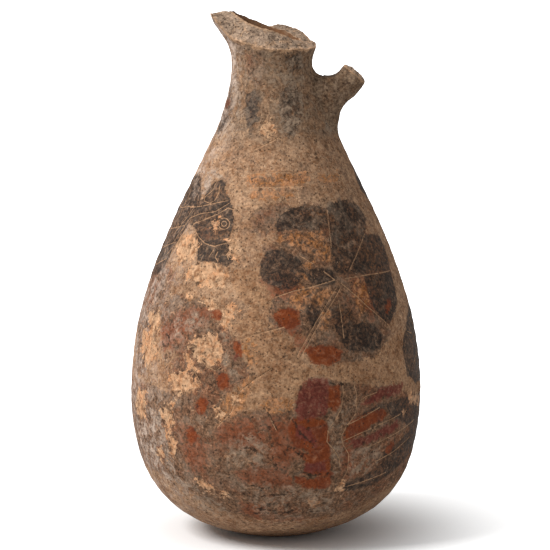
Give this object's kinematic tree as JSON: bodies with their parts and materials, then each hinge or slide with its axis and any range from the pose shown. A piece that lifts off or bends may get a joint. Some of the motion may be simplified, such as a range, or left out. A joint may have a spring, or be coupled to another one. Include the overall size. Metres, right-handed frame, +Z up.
{
  "type": "alabastron",
  "caption": "Small pear-shaped fired-clay oil flask with a narrow neck, a broken flaring mouth and the hooked stub of a pierced handle.",
  "frame": {"origin": "middle of the small flat standing face under the body", "axes": "+Z up through the body and neck, +X towards the handle's stub, -Y the front that the picture shows"},
  "size_m": [0.061, 0.061, 0.1095],
  "materials": {
    "fired_clay": "worn matt fired clay, tan to grey-brown, with flaked black, red and purple slip painting and incised lines"
  },
  "bodies": {
    "root": {"vessel": "fired_clay"}
  },
  "joints": []
}
